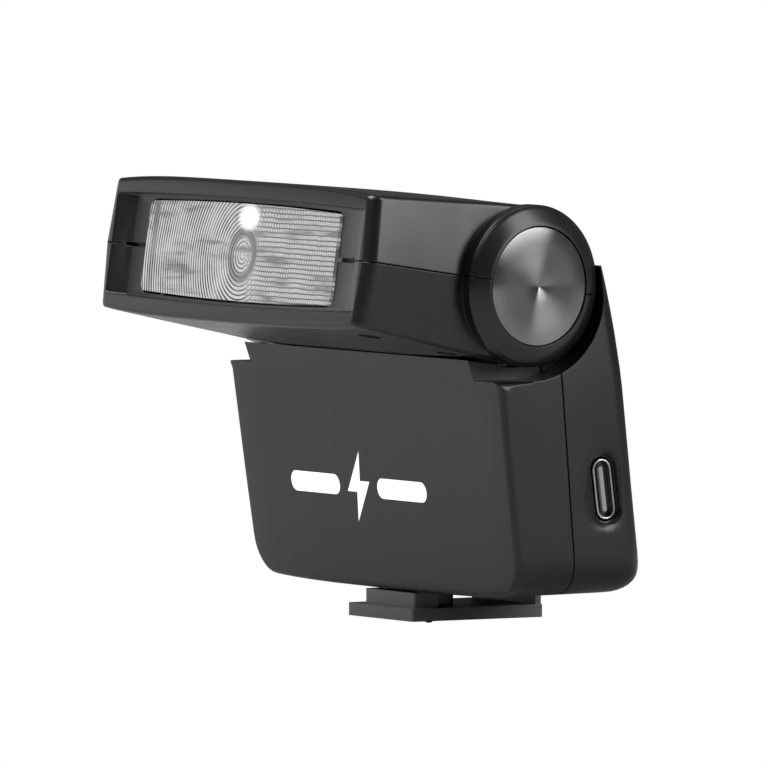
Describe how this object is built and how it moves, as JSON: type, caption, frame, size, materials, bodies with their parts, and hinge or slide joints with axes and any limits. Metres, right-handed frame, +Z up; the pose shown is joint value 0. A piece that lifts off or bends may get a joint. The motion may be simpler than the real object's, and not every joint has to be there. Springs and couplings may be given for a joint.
{
  "type": "speedlight flash",
  "caption": "Compact camera-top flash: slim leaning body on a shoe foot, with a wide head that tilts up on a barrel hinge and a clear ribbed window.",
  "frame": {"origin": "centre of the shoe foot's sole", "axes": "+Z up, +Y to the rear (the window faces -Y), +X to the side with the charging port"},
  "size_m": [0.08, 0.0507, 0.0659],
  "materials": {
    "casing": "fine satin moulded black",
    "window": "clear ribbed moulding",
    "spun_metal": "turned, dark anodised",
    "steel": "plated, bright",
    "foot": "dark grey moulding",
    "button": "soft touch",
    "smoked_window": "smoked gloss",
    "light_guide": "clear, diffusing",
    "keypad": "matt silicone",
    "contact_tongue": "smooth",
    "board": "solder resist",
    "cell": "foil wrap",
    "capacitor": "sleeved can",
    "ferrite": "sintered",
    "mirror": "bright reflector sheet",
    "tube_glass": "clear",
    "boot": "silicone",
    "coil": "varnished winding",
    "bush": "acetal"
  },
  "bodies": {
    "body": {"front_shell": "casing", "rear_shell": "casing", "charging_port_sleeve": "steel", "charging_port_tongue": "contact_tongue", "indicator_window": "smoked_window", "light_guide": "light_guide", "keypad_membrane": "keypad", "main_board": "board", "battery_cell": "cell", "storage_capacitor": "capacitor", "boost_transformer": "ferrite", "hinge_bracket": "steel", "hinge_shaft": "steel", "detent_spring": "steel", "case_screw_1": "steel", "case_screw_2": "steel", "case_screw_3": "steel", "case_screw_4": "steel", "shoe_foot": "foot", "contact_spring": "steel", "foot_screw_left": "steel", "foot_screw_right": "steel"},
    "head": {"upper_head_shell": "casing", "lower_head_shell": "casing", "head_screw_1": "steel", "head_screw_2": "steel", "head_screw_3": "steel", "head_screw_4": "steel", "end_disc_left": "spun_metal", "end_disc_right": "spun_metal", "hinge_bush_left": "bush", "hinge_bush_right": "bush", "detent_wheel": "steel", "window_lens": "window", "reflector": "mirror", "flash_tube": "tube_glass", "tube_boot_left": "boot", "tube_boot_right": "boot", "trigger_coil": "coil", "head_board": "board"},
    "power_button": {"power_button": "button"},
    "mode_button": {"mode_button": "button"},
    "minus_button": {"minus_button": "button"},
    "plus_button": {"plus_button": "button"},
    "test_button": {"test_button": "button"},
    "contact_pin": {"contact_pin": "steel"}
  },
  "joints": [
    {"name": "head_tilt", "type": "hinge", "parent": "body", "child": "head", "pos_m": [0, -0.00727, 0.05035], "axis": [-1, 0, 0], "range_deg": [0, 81.5]},
    {"name": "power_press", "type": "slide", "parent": "body", "child": "power_button", "axis": [0, -0.9922, -0.125], "range_m": [0, 0.0004], "stiffness_N_per_m": 15, "springref_m": -0.001},
    {"name": "mode_press", "type": "slide", "parent": "body", "child": "mode_button", "axis": [0, -0.9922, -0.125], "range_m": [0, 0.0004], "stiffness_N_per_m": 15, "springref_m": -0.001},
    {"name": "minus_press", "type": "slide", "parent": "body", "child": "minus_button", "axis": [0, -0.9922, -0.125], "range_m": [0, 0.0004], "stiffness_N_per_m": 15, "springref_m": -0.001},
    {"name": "plus_press", "type": "slide", "parent": "body", "child": "plus_button", "axis": [0, -0.9922, -0.125], "range_m": [0, 0.0004], "stiffness_N_per_m": 15, "springref_m": -0.001},
    {"name": "test_press", "type": "slide", "parent": "body", "child": "test_button", "axis": [0, -0.9922, -0.125], "range_m": [0, 0.0004], "stiffness_N_per_m": 15, "springref_m": -0.001},
    {"name": "contact_pin_slide", "type": "slide", "parent": "body", "child": "contact_pin", "axis": [0, 0, 1], "range_m": [0, 0.0006], "stiffness_N_per_m": 15, "springref_m": -0.002}
  ]
}
